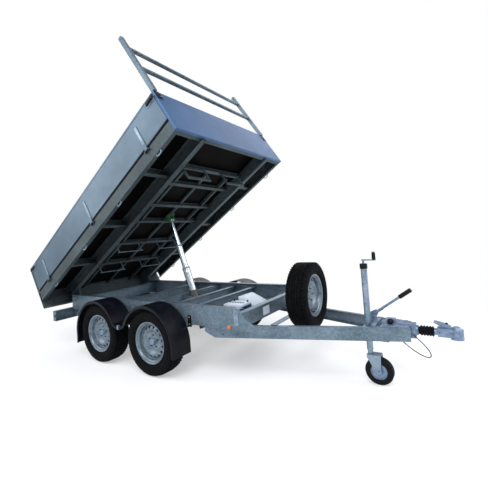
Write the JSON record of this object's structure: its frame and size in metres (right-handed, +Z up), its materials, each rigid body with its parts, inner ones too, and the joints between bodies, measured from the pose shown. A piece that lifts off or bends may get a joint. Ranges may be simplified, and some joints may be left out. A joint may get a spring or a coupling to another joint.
{
  "type": "tandem-axle tipper trailer",
  "caption": "Braked tandem-axle tipper trailer with drop sides, hydraulic tipping bed, V drawbar, spare wheel and jockey wheel.",
  "frame": {"origin": "on the ground, below the middle of the trailer's box", "axes": "+X forward to the coupling, +Z up, +Y to the trailer's left"},
  "size_m": [4.4122, 1.922, 3.1626],
  "materials": {
    "galvanised": "hot-dip galvanised, dull spangle",
    "board_sheet": "galvanised sheet, blue-grey, satin",
    "rack_steel": "galvanised tube, satin",
    "rubber": "matt black",
    "tyre": "matt black",
    "rim_silver": "silver wheel paint",
    "plastic": "matt black",
    "floor_board": "film-faced, dark",
    "chrome": "hard chrome, polished",
    "barrel_paint": "brown-grey paint, satin",
    "cast": "zinc plated, satin",
    "battery_case": "dark blue, satin",
    "lens": "red lens, glossy",
    "amber": "amber lens, glossy",
    "bracket_green": "green paint, satin"
  },
  "bodies": {
    "chassis": {"axle_front": "galvanised", "axle_rear": "galvanised", "rail_near": "galvanised", "rail_far": "galvanised", "crossmember_rear": "galvanised", "crossmember_middle": "galvanised", "crossmember_front": "galvanised", "cylinder_cradle": "galvanised", "front_panel": "galvanised", "drawbar_near": "galvanised", "drawbar_far": "galvanised", "light_bar": "galvanised", "brake_rod": "galvanised", "jockey_tube": "galvanised", "spare_carrier": "galvanised", "equipment_tray": "galvanised", "lamp_near": "lens", "lamp_far": "lens", "mudguard_near": "plastic", "mudguard_far": "plastic", "handbrake": "plastic", "breakaway_cable": "plastic", "overrun_housing": "cast", "coupling": "cast", "pump_unit": "cast", "bellows": "rubber", "spare_tyre": "tyre", "spare_rim": "rim_silver", "battery": "battery_case", "reflector_near": "amber", "reflector_far": "amber"},
    "bed": {"bed_frame": "galvanised", "bed_floor": "floor_board", "headboard": "board_sheet", "ladder_rack": "rack_steel", "ramp_holder_near": "galvanised", "ramp_holder_far": "galvanised", "cylinder_bracket": "bracket_green"},
    "side_near": {"side_board_near": "board_sheet"},
    "side_far": {"side_board_far": "board_sheet"},
    "tailgate": {"tailgate": "board_sheet"},
    "barrel": {"cylinder_barrel": "barrel_paint"},
    "stage_1": {"cylinder_stage_1": "chrome"},
    "stage_2": {"cylinder_stage_2": "chrome"},
    "stage_3": {"cylinder_stage_3": "chrome"},
    "jockey_leg": {"jockey_leg": "galvanised"},
    "jockey_fork": {"jockey_fork": "galvanised"},
    "jockey_wheel": {"jockey_wheel": "rubber"},
    "wheel_front_near": {"tyre_front_near": "tyre", "rim_front_near": "rim_silver"},
    "wheel_front_far": {"tyre_front_far": "tyre", "rim_front_far": "rim_silver"},
    "wheel_rear_near": {"tyre_rear_near": "tyre", "rim_rear_near": "rim_silver"},
    "wheel_rear_far": {"tyre_rear_far": "tyre", "rim_rear_far": "rim_silver"}
  },
  "joints": [
    {"name": "bed_tip", "type": "hinge", "parent": "chassis", "child": "bed", "pos_m": [-1.78392, 0, 0.606], "axis": [0, -1, 0], "range_deg": [-32.7, 12.3]},
    {"name": "side_near_drop", "type": "hinge", "parent": "bed", "child": "side_near", "pos_m": [-0.80835, -0.953, 1.45571], "axis": [0.8415, 0, 0.5402], "range_deg": [0, 180]},
    {"name": "side_far_drop", "type": "hinge", "parent": "bed", "child": "side_far", "pos_m": [-0.80835, 0.953, 1.45571], "axis": [-0.8415, 0, -0.5402], "range_deg": [0, 180]},
    {"name": "tailgate_drop", "type": "hinge", "parent": "bed", "child": "tailgate", "pos_m": [-2.02013, 0, 0.67777], "axis": [0, -1, 0], "range_deg": [0, 90]},
    {"name": "cylinder_pivot", "type": "hinge", "parent": "chassis", "child": "barrel", "pos_m": [-0.32992, 0, 0.54], "axis": [0, -1, 0], "range_deg": [-15.09, 5.71]},
    {"name": "stage_1_slide", "type": "slide", "parent": "barrel", "child": "stage_1", "axis": [-0.3174, 0, 0.9483], "range_m": [-0.26493, 0.09997]},
    {"name": "stage_2_slide", "type": "slide", "parent": "stage_1", "child": "stage_2", "axis": [-0.3174, 0, 0.9483], "range_m": [-0.26493, 0.09997]},
    {"name": "stage_3_slide", "type": "slide", "parent": "stage_2", "child": "stage_3", "axis": [-0.3174, 0, 0.9483], "range_m": [-0.26493, 0.09997]},
    {"name": "wheel_front_near_roll", "type": "hinge", "parent": "chassis", "child": "wheel_front_near", "pos_m": [-0.19892, -0.7405, 0.304], "axis": [0, 1, 0], "continuous": true},
    {"name": "wheel_front_far_roll", "type": "hinge", "parent": "chassis", "child": "wheel_front_far", "pos_m": [-0.19892, 0.7405, 0.304], "axis": [0, 1, 0], "continuous": true},
    {"name": "wheel_rear_near_roll", "type": "hinge", "parent": "chassis", "child": "wheel_rear_near", "pos_m": [-0.99092, -0.7405, 0.304], "axis": [0, 1, 0], "continuous": true},
    {"name": "wheel_rear_far_roll", "type": "hinge", "parent": "chassis", "child": "wheel_rear_far", "pos_m": [-0.99092, 0.7405, 0.304], "axis": [0, 1, 0], "continuous": true},
    {"name": "jockey_wind", "type": "slide", "parent": "chassis", "child": "jockey_leg", "axis": [0, 0, -1], "range_m": [0, 0.18]},
    {"name": "jockey_swivel", "type": "hinge", "parent": "jockey_leg", "child": "jockey_fork", "pos_m": [1.57708, -0.088, 0.229], "axis": [0, 0, 1], "continuous": true},
    {"name": "jockey_roll", "type": "hinge", "parent": "jockey_fork", "child": "jockey_wheel", "pos_m": [1.63508, -0.088, 0.105], "axis": [0, 1, 0], "continuous": true}
  ],
  "couplings": [
    {"joint": "cylinder_pivot", "follows": "bed_tip", "ratio": 0.46},
    {"joint": "stage_1_slide", "follows": "bed_tip", "m_per_rad": 0.46333},
    {"joint": "stage_2_slide", "follows": "bed_tip", "m_per_rad": 0.46333},
    {"joint": "stage_3_slide", "follows": "bed_tip", "m_per_rad": 0.46333}
  ]
}
